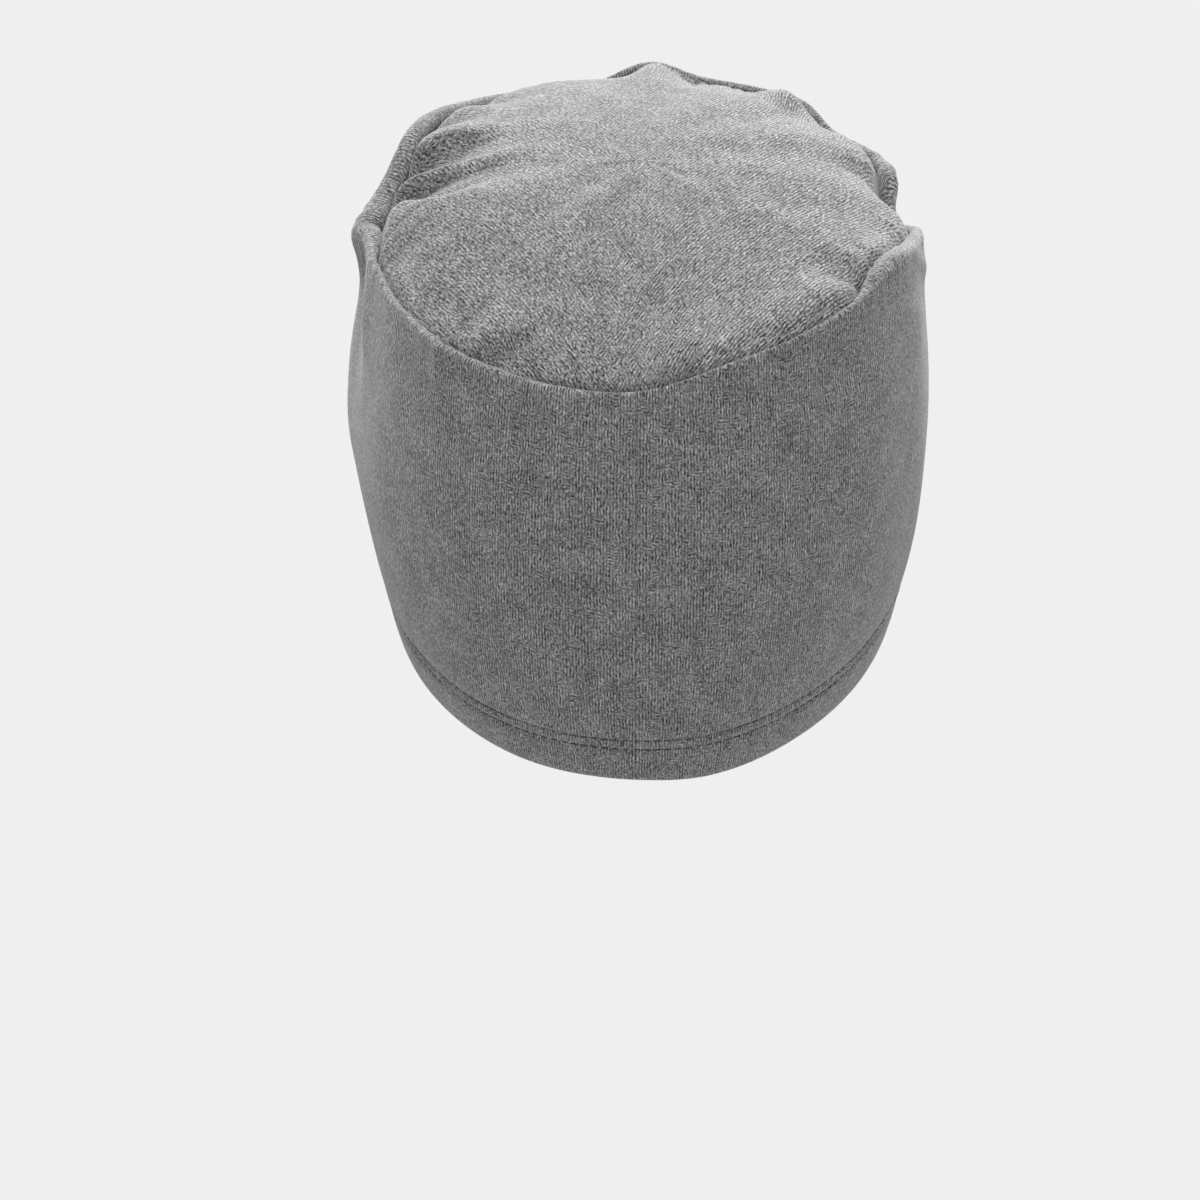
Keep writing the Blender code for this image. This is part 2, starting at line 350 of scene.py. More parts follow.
def hem_grooves(height, angle):
    """The grooves that the stitches pull, and the ridge between them, at a height above the hem."""
    along = angle * HEM_HALF_LENGTH
    depth = 0
    for row in STITCH_ROWS:
        tight = 0.8 + 0.2 * np.cos(math.tau * along / STITCH_SPACING)
        depth = depth + GROOVE_DEPTH * tight * np.exp(-(((height - row) / GROOVE_WIDTH) ** 2))
    between = (STITCH_ROWS[0] + STITCH_ROWS[1]) / 2
    ridge = RIDGE_HEIGHT * np.exp(-(((height - between) / GROOVE_WIDTH) ** 2))
    drawn_in = DRAWN_IN_DEPTH * np.exp(-(((height - between) / DRAWN_IN_WIDTH) ** 2))
    return ridge - depth - drawn_in


def smooth_side_point(share, angle, extra=0.0):
    """The middle of the side panel's wall. Share is 0 at the hem and 1 at the seam."""
    end = np.where(np.cos(angle) > 0, NAPE_FULLNESS, FOREHEAD_FULLNESS)
    full = EAR_FULLNESS + (end - EAR_FULLNESS) * np.cos(angle) ** 2
    swell = np.sin(math.pi * np.maximum(share, 0) ** SWELL_SKEW) * full
    swell = swell + side_fold_height(share, angle) + extra
    outwards = np.stack([np.sin(angle), np.cos(angle), np.zeros_like(angle)], axis=-1)
    share = np.asarray(share)[..., None]
    return hem_ring(angle) * (1 - share) + seam_ring(angle) * share + outwards * swell[..., None]


SMALL_WOBBLE = 0.25 * MILLIMETRE
BROAD_WOBBLE = 0.30 * MILLIMETRE


def side_point(share, angle):
    """The side panel's wall with its wobble, its puckers and the pull of the hem's stitches."""
    uneven = SMALL_WOBBLE * wobble(angle, share, 9, 1.4, 11) * np.clip(4 * share, 0, 1)
    uneven = uneven + BROAD_WOBBLE * wobble(angle, share, 5, 0.6, 12)
    uneven = uneven + puckers(angle, (1 - share) * SIDE_HEIGHT, 21)
    return smooth_side_point(share, angle, uneven + hem_grooves(share * SIDE_HEIGHT, angle))


def side_frame(share, angle):
    """Points of the side panel, with the way up the cloth and the way straight out of it."""
    step = 0.01
    share = np.broadcast_to(share, angle.shape)
    low, high = np.maximum(share - step, 0), np.minimum(share + step, 1)
    climb = smooth_side_point(high, angle) - smooth_side_point(low, angle)
    turn = 0.035
    along = smooth_side_point(share, angle + turn) - smooth_side_point(share, angle - turn)
    outwards = np.cross(climb, along)
    climb = climb / np.linalg.norm(climb, axis=-1, keepdims=True)
    return side_point(share, angle), climb, outwards / np.linalg.norm(outwards, axis=-1, keepdims=True)


def inside(share, angle, inset):
    """Points of a layer of cloth that lies inside the side panel."""
    point, _, outwards = side_frame(share, angle)
    return point - outwards * np.asarray(inset)[..., None]


print("side panel's widest half:", np.round(side_point(np.full(1, 0.5), np.radians([90.0])), 4))

# %% [markdown]
# ## Sewing lines into a sheet
# A loft joins lines of points into a sheet of four-sided faces. The helper takes rows of points round the
# cap, closes them into a ring, and lays a flat pattern (a UV map, in metres) over the faces, so that the
# knit can follow the cloth. The wall comes from Solidify, as the real cloth's thickness does.

# %% Loft rows into cloth
def columns_round(count, crowded):
    """Angles round the cap, closer together at the crowded places: (middle, spread, how much)."""
    even = np.linspace(0, math.tau, 2881)
    density = np.ones_like(even)
    for middle, spread, more in crowded:
        density += more * np.exp(-((turned(even, math.radians(middle)) / math.radians(spread)) ** 2))
    travelled = np.concatenate([[0], np.cumsum((density[1:] + density[:-1]) / 2)])
    return np.interp(np.arange(count) / count * travelled[-1], travelled, even)


def sheet_mesh(name, rows, across, up, tip=None):
    """A closed ring of quads through rows of points. Across and up place each row on the flat pattern."""
    count = rows.shape[1]
    work = bmesh.new()
    pattern = work.loops.layers.uv.new("cloth")
    points = [[work.verts.new(p) for p in row] for row in rows]
    for r in range(len(rows) - 1):
        for c in range(count):
            d = (c + 1) % count
            face = work.faces.new((points[r][c], points[r][d], points[r + 1][d], points[r + 1][c]))
            corners = ((r, c), (r, c + 1), (r + 1, c + 1), (r + 1, c))
            for loop, (i, j) in zip(face.loops, corners):
                loop[pattern].uv = (across[i, j], up[i, j])
    if tip is not None:
        last = len(rows) - 1
        middle = work.verts.new(tip)
        for c in range(count):
            face = work.faces.new((points[last][c], points[last][(c + 1) % count], middle))
            for loop, place in zip(face.loops, ((last, c), (last, c + 1), None)):
                loop[pattern].uv = (across[place], up[place]) if place else (0, 0)
    bmesh.ops.recalc_face_normals(work, faces=work.faces)
    mesh = bpy.data.meshes.new(name)
    work.to_mesh(mesh)
    work.free()
    mesh.shade_smooth()
    return mesh


def cloth_piece(mesh):
    """An object with the cloth's thickness, half to each side of the sheet."""
    piece = bpy.data.objects.new(mesh.name, mesh)
    bpy.context.scene.collection.objects.link(piece)
    wall = piece.modifiers.new("cloth wall", "SOLIDIFY")
    wall.thickness = FABRIC
    wall.offset = 0
    return piece


# %% [markdown]
# ## The side panel, from raw edge to raw edge
# The cloth starts at the raw edge of the hem, inside. It runs down, folds round the bottom edge, comes up
# the outside, rolls over at the seam and ends in the seam allowance inside. One sheet does it all, so the
# hem and the lip are real turns of cloth with real thickness.

# %% Make the side cloth
def half_turn(share, angle, radius, way, steps, flatness=1.0):
    """Rows of points round the fold that turns the side panel's edge to the inside."""
    point, climb, outwards = side_frame(share, angle)
    radius = np.broadcast_to(radius, angle.shape)[..., None]
    centre = point - outwards * radius
    bends = math.pi * np.arange(1, steps) / steps
    return [centre + radius * (math.cos(b) * outwards + flatness * math.sin(b) * way * climb) for b in bends]


SIDE_COLUMNS = 400
SIDE_CROWDED = ((100, 22, 0.5), (250, 30, 0.3))
HEM_PART = 0.14
side_angles = columns_round(SIDE_COLUMNS, SIDE_CROWDED)
all_round = np.ones(SIDE_COLUMNS)
lowest, highest = (side_point(end * all_round, side_angles) for end in (0, 1))
side_length = np.linalg.norm(highest - lowest, axis=1)
hem_top = HEM_TURN_UP / side_length
allowance_end = 1 - SEAM_ALLOWANCE / side_length
behind_hem = 2 * HEM_FOLD_RADIUS * all_round
behind_lip = 2 * roll_radius(side_angles)
hem_inner = [inside(hem_top * s, side_angles, behind_hem) for s in np.linspace(1, 0, 9)]
hem_fold = half_turn(0.0, side_angles, HEM_FOLD_RADIUS, -1, 6)[::-1]
heights = np.concatenate([np.linspace(0, HEM_PART, 25)[:-1], np.linspace(HEM_PART, 1, 62)])
outer = [side_point(h * all_round, side_angles) for h in heights]
lip_roll = half_turn(1.0, side_angles, roll_radius(side_angles), 1, 8, LIP_FLATNESS)
allowance = [inside(1 + (allowance_end - 1) * s, side_angles, behind_lip) for s in (0, 0.5, 1)]
side_rows = np.array(hem_inner + hem_fold + outer + lip_roll + allowance)
print("side cloth:", side_rows.shape[0], "rows of", side_rows.shape[1], "points")

# %% [markdown]
# The flat pattern of the side panel has one straight measure round the cap and one up the cloth. The
# first is taken at half height and used for all heights, because a knit's ribs run up the panel and close
# up towards the hem. Over the ears, where the cap is stretched most, the ribs are drawn apart. The second
# is measured along the cloth itself and is zero at the hem's fold.

# %% Lay the pattern and build the side cloth
def measured_round(ring):
    """The running length round a closed ring of points, with the full length at the end."""
    steps = np.linalg.norm(np.roll(ring, -1, axis=0) - ring, axis=1)
    return np.concatenate([[0], np.cumsum(steps)])


def knit_round(ring, angles):
    """The running length round the panel as the knit counts it: its ribs are drawn apart over the ears."""
    steps = np.diff(measured_round(ring))
    middles = (angles + np.roll(angles, -1) % math.tau) / 2
    drawn_apart = 1 - EARS_STRETCH * np.sin(middles) ** 4
    return np.concatenate([[0], np.cumsum(steps * drawn_apart)])


EARS_STRETCH = 0.38
round_about = knit_round(side_point(0.5 * all_round, side_angles), side_angles)
climbs = np.linalg.norm(np.diff(side_rows, axis=0), axis=2)
running = np.vstack([0 * all_round, np.cumsum(climbs, axis=0)])
running -= running[len(hem_inner) + len(hem_fold)]
side_up = np.hstack([running, running[:, :1]])
side_across = np.tile(round_about, (len(side_rows), 1))
side_cloth = cloth_piece(sheet_mesh("side_cloth", side_rows, side_across, side_up))
print("side cloth is", round(round_about[-1], 3), "m round and",
      round(float(np.ptp(side_up)), 3), "m up the cloth")

# %% [markdown]
# ## The gathers of the crown
# Where the crown is fuller than the seam below it, the cloth is laid in folds. Each fold here is a line on
# the crown, through three places given by angle and by share of the way from the middle (0) to the seam
# (1). It stands up by its height. Seen along the line towards the middle, it falls off to the left and to
# the right over its two widths, all in millimetres: a narrow side makes a steep, shaded face under a crisp
# crest, and a wide one a gentle slope. A negative height is a furrow.

# %% The crown's table
CROWN_FOLDS = table("line height left right", (
    (((111, 1.00), (113, 0.88), (120, 0.64)), 5.2, 5.5, 1.5),
    (((108.5, 1.00), (109.5, 0.90), (114, 0.70)), -5.0, 1.8, 2.4),
    (((103.5, 0.98), (105.5, 0.87), (117, 0.66)), 4.0, 2.2, 1.3),
    (((105, 0.95), (110, 0.77), (120, 0.60)), -2.8, 2.4, 2.4),
    (((101.5, 1.00), (100, 0.76), (107, 0.47)), 5.6, 3.0, 1.6),
    (((99, 0.98), (95.5, 0.79), (103, 0.54)), -4.6, 2.0, 2.8),
    (((94, 0.98), (82, 0.76), (86, 0.46)), 3.4, 2.6, 12.0),
    (((118, 1.00), (122, 0.90), (129, 0.76)), -1.6, 3.0, 3.0),
    (((128, 1.00), (131, 0.88), (137, 0.70)), 0.9, 4.5, 3.0),
    (((137, 1.00), (140, 0.86), (146, 0.70)), -1.4, 4.0, 5.0),
    (((158, 1.00), (158, 0.82), (159, 0.55)), 1.3, 13.0, 13.0),
    (((176, 1.00), (175, 0.90), (174, 0.78)), -2.0, 3.0, 3.0),
    (((184, 0.98), (183, 0.86), (183, 0.70)), 1.0, 4.0, 4.0),
    (((192, 0.97), (193, 0.86), (192, 0.70)), -2.4, 5.0, 5.0),
    (((206, 1.00), (206, 0.86), (204, 0.70)), -2.2, 8.0, 8.0),
    (((217, 1.00), (216, 0.92), (214, 0.82)), 0.6, 4.0, 4.0),
    (((215, 1.00), (216, 0.92), (219, 0.80)), 1.4, 6.0, 6.0),
    (((228, 1.00), (230, 0.92), (234, 0.82)), -0.9, 4.0, 5.0),
    (((239, 0.94), (241, 0.88), (245, 0.91)), -0.7, 1.2, 1.2),
    (((246, 1.00), (250, 0.94), (256, 0.88)), 0.5, 6.0, 6.0),
    (((254, 1.00), (262, 0.90), (278, 0.77)), -0.7, 5.0, 7.0),
    (((270, 1.00), (274, 0.90), (284, 0.76)), 0.4, 6.0, 6.0),
    (((305, 1.00), (308.5, 0.92), (311, 0.78)), -3.4, 4.5, 4.0),
    (((318, 1.00), (318, 0.86), (318, 0.62)), 0.9, 10.0, 10.0),
    (((336, 1.00), (333, 0.84), (328, 0.62)), -0.6, 9.0, 9.0),
    (((352, 1.00), (348, 0.84), (340, 0.62)), 0.8, 8.0, 8.0),
    (((4, 1.00), (1, 0.92), (356, 0.82)), -0.8, 3.5, 2.5),
    (((35, 1.00), (30, 0.94), (20, 0.78)), 1.8, 7.0, 2.4),
    (((32, 1.00), (26, 0.94), (15, 0.80)), -4.2, 1.4, 7.0),
    (((16, 1.00), (12, 0.93), (7, 0.84)), 0.8, 3.0, 1.6),
    (((40, 1.00), (44, 0.78), (54, 0.48)), -1.1, 9.0, 9.0),
    (((60, 1.00), (58, 0.86), (56, 0.70)), -0.9, 7.0, 7.0),
    (((78, 1.00), (75, 0.93), (70, 0.82)), -2.0, 4.0, 4.5),
    (((88, 1.00), (86, 0.93), (81, 0.82)), 1.4, 3.0, 3.5),
))
print("crown:", len(CROWN_FOLDS), "folds and furrows")

# %% [markdown]
# To find a fold's height at a point of the crown, the fold's line is drawn as a smooth curve on a plan of
# the cap, and the nearest place on it gives two numbers: how far along the fold the point is, and how far
# to its left or right. A fold starts at the lip, is highest soon after, and dies out as it runs inwards.

# %% How high a fold stands
FOLD_SKEW = 0.45
FOLD_SPREAD = 0.9


def crown_edge(angle):
    """Where the crown's cloth meets the inside of the lip."""
    return inside(np.ones_like(angle), angle, 2 * roll_radius(angle) + FABRIC + PANEL_GAP)


def fold_line(places, count=36):
    """A smooth line through a fold's three places, on a plan of the cap, in metres."""
    angle = np.radians([place[0] for place in places])
    share = np.array([place[1] for place in places])
    start, middle, end = crown_edge(angle)[:, :2] * share[:, None]
    t = np.linspace(0, 1, count)[:, None]
    return start * (1 - t) * (1 - 2 * t) + middle * 4 * t * (1 - t) + end * t * (2 * t - 1)


def fold_height(plan, fold):
    """How far one fold lifts the points of a plan, given as rows and columns of x and y."""
    line = fold_line(fold["line"])
    ways = np.gradient(line, axis=0)
    step = np.linalg.norm(ways, axis=1)
    ways = ways / step[:, None]
    offsets = plan[:, :, None, :] - line
    nearest = np.argmin((offsets**2).sum(axis=-1), axis=-1)
    offset = np.take_along_axis(offsets, nearest[..., None, None], axis=2)[:, :, 0, :]
    way = ways[nearest]
    along = np.abs((offset * way).sum(axis=-1)) - step.max()
    across = way[..., 0] * offset[..., 1] - way[..., 1] * offset[..., 0]
    travelled = nearest / (len(line) - 1)
    width = np.where(across > 0, fold["left"], fold["right"]) * MILLIMETRE * (1 + FOLD_SPREAD * travelled)
    crispness = np.where(across > 0, 2.0, 1.4)
    fall = np.exp(-(np.abs(across / width) ** crispness) - (np.maximum(along, 0) / (2 * MILLIMETRE)) ** 2)
    return fold["height"] * MILLIMETRE * fall * np.sin(math.pi * np.maximum(travelled, 0.004) ** FOLD_SKEW)


# %% [markdown]
# ## The crown's surface
# The crown is a shallow dome with a steep rim, laid over the tilted seam. Its edge starts below the lip,
# which leaves the dark crevice that a seam shows, and the wander of the seam dies out quickly inwards,
# most quickly beside the deep notch in the seam on the right. At the nape nothing is gathered: there the
# dome's shoulder is softer, and a low shelf keeps the cloth up close to the seam.

# %% Make the crown cloth
CROWN_COLUMNS = 480
CROWN_CROWDED = ((106, 22, 1.8), (190, 20, 0.4), (240, 34, 0.5), (18, 16, 0.7))
NAPE_SHOULDER = 0.30
NAPE_SHELF = 4.2 * MILLIMETRE
SHELF_REACH = 16 * MILLIMETRE
NOTCH_ANGLE = math.radians(256)
NOTCH_SPREAD = math.radians(24)
NOTCH_FADE = 8
CREVICE_WIDTH = 1.6 * MILLIMETRE
PUFF_REACH = 5 * MILLIMETRE
CROWN_WOBBLE = 0.35 * MILLIMETRE
crown_angles = columns_round(CROWN_COLUMNS, CROWN_CROWDED)
shares = np.concatenate([1 - 0.30 * np.linspace(0, 1, 50) ** 1.35, np.linspace(0.70, 0.03, 44)[1:]])
edge = crown_edge(crown_angles)
plan = shares[:, None, None] * edge[None, :, :2]
share = shares[:, None]
edge_radius = np.hypot(edge[:, 0], edge[:, 1])
from_edge = (1 - share) * edge_radius
lip = {column: MILLIMETRE * round_the_cap(LIP, column, crown_angles) for column in ("drop", "puff")}
at_nape = np.maximum(np.cos(crown_angles), 0) ** 2
dome = CROWN_RISE * (1 - share**CROWN_ROUNDNESS) ** (CROWN_SHOULDER + NAPE_SHOULDER * at_nape)
at_notch = np.exp(-((turned(crown_angles, NOTCH_ANGLE) / NOTCH_SPREAD) ** 2))
wander = (edge[:, 2] - seam_plane(edge[:, 1])) * share ** (WANDER_FADE + NOTCH_FADE * at_notch)
folds = sum(fold_height(plan, fold) for fold in CROWN_FOLDS)
crevice = -lip["drop"] * np.exp(-((from_edge / CREVICE_WIDTH) ** 2))
puff = lip["puff"] * np.exp(-(((from_edge - PUFF_REACH) / PUFF_REACH) ** 2))
shelf = NAPE_SHELF * at_nape * np.exp(-((from_edge / SHELF_REACH) ** 2))
uneven = CROWN_WOBBLE * wobble(crown_angles, share, 6, 0.9, 31) * np.sin(math.pi * share)
uneven = uneven + puckers(crown_angles, from_edge - 3 * MILLIMETRE, 41)
height = seam_plane(plan[..., 1]) + dome + wander + folds + crevice + puff + shelf + uneven
surface = np.concatenate([plan, height[..., None]], axis=-1)
hidden = inside(1 - SEAM_ALLOWANCE / SIDE_HEIGHT + 0 * crown_angles, crown_angles,
                2 * roll_radius(crown_angles) + FABRIC + PANEL_GAP)
crown_rows = np.concatenate([hidden[None], surface])
crown_tip = (0, 0, float(seam_plane(0) + CROWN_RISE))
print("crown cloth:", crown_rows.shape[0], "rows of", crown_rows.shape[1], "points, folds from",
      np.round(1e3 * folds.min(), 1), "to", np.round(1e3 * folds.max(), 1), "mm")

# %% [markdown]
# The crown's flat pattern is measured outwards from its middle along the cloth, and laid down in the same
# direction, as a mapmaker does round a pole. The direction is measured along each ring of cloth too, so
# the steep faces of the folds take up as much of the pattern as they have cloth.

# %% Lay the pattern and build the crown cloth
steps = np.linalg.norm(np.diff(crown_rows[::-1], axis=0), axis=2)
reach = shares[-1] * edge_radius + np.vstack([np.zeros(len(crown_angles)), np.cumsum(steps, axis=0)])
reach = reach[::-1]
around = np.linalg.norm(np.roll(crown_rows, -1, axis=1) - crown_rows, axis=2)
around = np.hstack([np.zeros((len(around), 1)), np.cumsum(around, axis=1)])
bearing = math.tau * around / around[:, -1:]
reach = np.hstack([reach, reach[:, :1]])
crown_across = reach * np.sin(bearing)
crown_up = reach * np.cos(bearing)
crown_cloth = cloth_piece(sheet_mesh("crown_cloth", crown_rows, crown_across, crown_up, crown_tip))
print("crown cloth is", round(float(np.ptp(crown_across)), 3), "by",
      round(float(np.ptp(crown_up)), 3), "m laid flat")

# %% [markdown]
# ## Stitching the hem
# Two rows of stitches hold the hem. A stitch is the same small thing hundreds of times over, so Geometry
# Nodes lay it: the tree walks along the two lines, sets a short rounded stitch at each step, and turns
# it to follow the line. Changing one of its named inputs changes every stitch at once.

# %% The lines the stitches follow
THREAD_PROUD = 0.00002


def stitch_line(above_hem):
    """A closed line just on the outside of the cloth, at a height above the hem's fold."""
    angle = np.linspace(0, math.tau, 720, endpoint=False)
    point, _, outwards = side_frame(above_hem / SIDE_HEIGHT, angle)
    return point + outwards * (FABRIC / 2 + THREAD_PROUD)


def stitch_lines():
    curve = bpy.data.curves.new("hem_stitches", "CURVE")
    curve.dimensions = "3D"
    for above_hem in STITCH_ROWS:
        points = stitch_line(above_hem)
        spline = curve.splines.new("POLY")
        spline.points.add(len(points) - 1)
        for place, point in zip(spline.points, points):
            place.co = (*point, 1)
        spline.use_cyclic_u = True
    piece = bpy.data.objects.new("hem_stitch_lines", curve)
    bpy.context.scene.collection.objects.link(piece)
    return piece


lines = stitch_lines()
print("stitch lines:", len(lines.data.splines), "rows of", len(lines.data.splines[0].points), "points")

# %% [markdown]
# The tree has named inputs for the spacing, the length and the thread, and ends by making the stitches
# real and giving them their thread. Its result is then kept as a plain mesh.

# %% The stitching tree
def stitching_tree():
    tree = bpy.data.node_groups.new("hem stitching", "GeometryNodeTree")
    face = tree.interface
    face.new_socket("Lines", in_out="INPUT", socket_type="NodeSocketGeometry")
    sizes = {"Spacing": STITCH_SPACING, "Stitch length": 0.0024, "Thread thickness": 0.0005}
    for name, value in sizes.items():
        face.new_socket(name, in_out="INPUT", socket_type="NodeSocketFloat").default_value = value
    face.new_socket("Thread", in_out="INPUT", socket_type="NodeSocketMaterial")
    face.new_socket("Stitches", in_out="OUTPUT", socket_type="NodeSocketGeometry")
    given = tree.nodes.new("NodeGroupInput")
    walk = tree.nodes.new("GeometryNodeCurveToPoints")
    walk.mode = "LENGTH"
    bead = tree.nodes.new("GeometryNodeMeshUVSphere")
    bead.inputs["Segments"].default_value = 6
    bead.inputs["Rings"].default_value = 5
    bead.inputs["Radius"].default_value = 0.5
    size = tree.nodes.new("ShaderNodeCombineXYZ")
    lay = tree.nodes.new("GeometryNodeInstanceOnPoints")
    real = tree.nodes.new("GeometryNodeRealizeInstances")
    thread = tree.nodes.new("GeometryNodeSetMaterial")
    result = tree.nodes.new("NodeGroupOutput")
    for source, given_out, target, taken_in in (
        (given, "Lines", walk, "Curve"),
        (given, "Spacing", walk, "Length"),
        (walk, "Points", lay, "Points"),
        (walk, "Rotation", lay, "Rotation"),
        (bead, "Mesh", lay, "Instance"),
        (given, "Thread thickness", size, "X"),
        (given, "Thread thickness", size, "Y"),
        (given, "Stitch length", size, "Z"),
        (size, "Vector", lay, "Scale"),
        (lay, "Instances", real, "Geometry"),
        (real, "Geometry", thread, "Geometry"),
        (given, "Thread", thread, "Material"),
        (thread, "Geometry", result, "Stitches"),
    ):
        tree.links.new(source.outputs[given_out], target.inputs[taken_in])
    return tree


thread_finish = bpy.data.materials.new("hem thread")
sewing = lines.modifiers.new("hem stitching", "NODES")
sewing.node_group = stitching_tree()
for socket in sewing.node_group.interface.items_tree:
    if socket.name == "Thread":
        sewing[socket.identifier] = thread_finish
depsgraph = bpy.context.evaluated_depsgraph_get()
stitch_mesh = bpy.data.meshes.new_from_object(lines.evaluated_get(depsgraph), depsgraph=depsgraph)
hem_stitches = bpy.data.objects.new("hem_stitches", stitch_mesh)
bpy.context.scene.collection.objects.link(hem_stitches)
bpy.data.objects.remove(lines)
stitch_mesh.materials.clear()
stitch_mesh.materials.append(thread_finish)
stitch_mesh.shade_smooth()
print("hem stitches:", len(stitch_mesh.polygons), "faces")

# %% [markdown]
# ## The heathered knit, as a node group
# Heathered jersey is knitted from a yarn of light and dark fibres. From near by it shows short light and
# dark strokes that lie along the ribs, with patches where they lie across, and fine ribs under them. One
# group makes this pattern for both panels. It reads the flat pattern in metres, so every size in it is a
# real one. It gives out a colour and a height, and leaves the shader itself to each material.

# %% Build the pattern group
def new_node(tree, kind, settings=None, values=None):
    """A node with its settings, and its inputs set by name or number."""
    node = tree.nodes.new(kind)
    for name, value in (settings or {}).items():
        setattr(node, name, value)
    for name, value in (values or {}).items():
        node.inputs[name].default_value = value
    return node


def flat_noise(tree, cloth, scale, detail):
    """Noise over the flat pattern, as a value about 0.5."""
    sizes = {"Scale": scale, "Detail": detail}
    noise = new_node(tree, "ShaderNodeTexNoise", {"noise_dimensions": "2D"}, sizes)
    tree.links.new(cloth, noise.inputs["Vector"])
    return noise.outputs["Fac"]


def maths(tree, operation, first, second=0.0):
    """One sum on two numbers or node outputs."""
    node = tree.nodes.new("ShaderNodeMath")
    node.operation = operation
    for socket, value in zip(node.inputs, (first, second)):
        if isinstance(value, (int, float)):
            socket.default_value = value
        else:
            tree.links.new(value, socket)
    return node.outputs["Value"]


def from_half(tree, value, times):
    """How far a value is from one half, made larger or smaller."""
    return maths(tree, "MULTIPLY", maths(tree, "SUBTRACT", value, 0.5), times)


SWAY = 0.0007
SWAYS_PER_METRE = 320.0


def strokes(tree, cloth, given, turn, seed, evenness):
    """Ribs and short strokes that run along one direction of the cloth, as one value about 0.5."""
    join = tree.links.new
    turned_cloth = new_node(tree, "ShaderNodeVectorRotate", {"rotation_type": "Z_AXIS"})
    join(cloth, turned_cloth.inputs["Vector"])
    join(turn, turned_cloth.inputs["Angle"])
    split = new_node(tree, "ShaderNodeSeparateXYZ")
    join(turned_cloth.outputs["Vector"], split.inputs["Vector"])
    drift = flat_noise(tree, cloth, SWAYS_PER_METRE, 1.0)
    swayed = maths(tree, "MULTIPLY_ADD", drift, SWAY)
    join(split.outputs["X"], swayed.node.inputs[2])
    across = maths(tree, "DIVIDE", swayed, given.outputs["Stroke width"])
    along = maths(tree, "DIVIDE", split.outputs["Y"], given.outputs["Stroke length"])
    place = new_node(tree, "ShaderNodeCombineXYZ", None, {"Z": seed})
    join(across, place.inputs["X"])
    join(along, place.inputs["Y"])
    fibre = new_node(tree, "ShaderNodeTexNoise", None, {"Scale": 1.0, "Detail": 1.0, "Distortion": 0.35})
    join(place.outputs["Vector"], fibre.inputs["Vector"])
    phase = maths(tree, "DIVIDE", maths(tree, "MULTIPLY", swayed, math.tau), given.outputs["Rib pitch"])
    rib = maths(tree, "MULTIPLY", maths(tree, "SINE", phase), 0.5 * evenness)
    rib_share = maths(tree, "MULTIPLY", rib, given.outputs["Rib strength"])
    return maths(tree, "ADD", fibre.outputs["Fac"], rib_share)


# The fuzz and the mottle are noises: how many to the metre, how detailed and how strong.
FUZZ = (1500.0, 1.5, 1.1)
MOTTLE = (110.0, 3.0, 0.4)
STROKES_WEIGHT = 2.6
PATCH_SHARPNESS = 4.0
DARK_SHARE = 1.6


def knit_group():
    tree = bpy.data.node_groups.new("heathered knit", "ShaderNodeTree")
    join = tree.links.new
    face = tree.interface
    face.new_socket("Cloth", in_out="INPUT", socket_type="NodeSocketVector")
    for name, value in (
        ("First turn", 0.0), ("Second turn", 1.57), ("Second where above", 0.5), ("Lean", 0.0),
        ("Stroke width", 0.00036), ("Stroke length", 0.0007), ("Rib pitch", 0.00088), ("Rib strength", 0.26),
        ("Patch size", 0.0042), ("Contrast", 0.54),
    ):
        face.new_socket(name, in_out="INPUT", socket_type="NodeSocketFloat").default_value = value
    for name in ("Dark yarn", "Light yarn"):
        face.new_socket(name, in_out="INPUT", socket_type="NodeSocketColor")
    face.new_socket("Colour", in_out="OUTPUT", socket_type="NodeSocketColor")
    face.new_socket("Height", in_out="OUTPUT", socket_type="NodeSocketFloat")
    given = tree.nodes.new("NodeGroupInput")
    result = tree.nodes.new("NodeGroupOutput")
    cloth = given.outputs["Cloth"]
    first = strokes(tree, cloth, given, given.outputs["First turn"], 0.3, 1.0)
    second = strokes(tree, cloth, given, given.outputs["Second turn"], 7.7, 0.55)

    shrink = new_node(tree, "ShaderNodeVectorMath", {"operation": "DIVIDE"})
    join(cloth, shrink.inputs[0])
    join(given.outputs["Patch size"], shrink.inputs[1])
    patch = flat_noise(tree, shrink.outputs["Vector"], 1.0, 2.0)
    where = new_node(tree, "ShaderNodeSeparateXYZ")
    join(cloth, where.inputs["Vector"])
    leaning = maths(tree, "MULTIPLY", where.outputs["X"], given.outputs["Lean"])
    level = maths(tree, "ADD", patch, leaning)
    above = maths(tree, "SUBTRACT", level, given.outputs["Second where above"])
    mask = maths(tree, "MULTIPLY_ADD", above, PATCH_SHARPNESS)
    mask.node.inputs[2].default_value = 0.5
    mask.node.use_clamp = True
    mixed = new_node(tree, "ShaderNodeMix", {"data_type": "FLOAT"})
    join(mask, mixed.inputs["Factor"])
    join(first, mixed.inputs["A"])
    join(second, mixed.inputs["B"])

    value = from_half(tree, mixed.outputs["Result"], STROKES_WEIGHT)
    for scale, detail, weight in (FUZZ, MOTTLE):
        noise = flat_noise(tree, cloth, scale, detail)
        value = maths(tree, "ADD", value, from_half(tree, noise, weight))
    value = maths(tree, "MULTIPLY_ADD", value, given.outputs["Contrast"])
    value.node.inputs[2].default_value = 0.5
    value.node.use_clamp = True
    value = maths(tree, "POWER", value, DARK_SHARE)
    colour = new_node(tree, "ShaderNodeMix", {"data_type": "RGBA"})
    join(value, colour.inputs["Factor"])
    join(given.outputs["Dark yarn"], colour.inputs[6])
    join(given.outputs["Light yarn"], colour.inputs[7])
    join(colour.outputs[2], result.inputs["Colour"])
    join(value, result.inputs["Height"])
    return tree


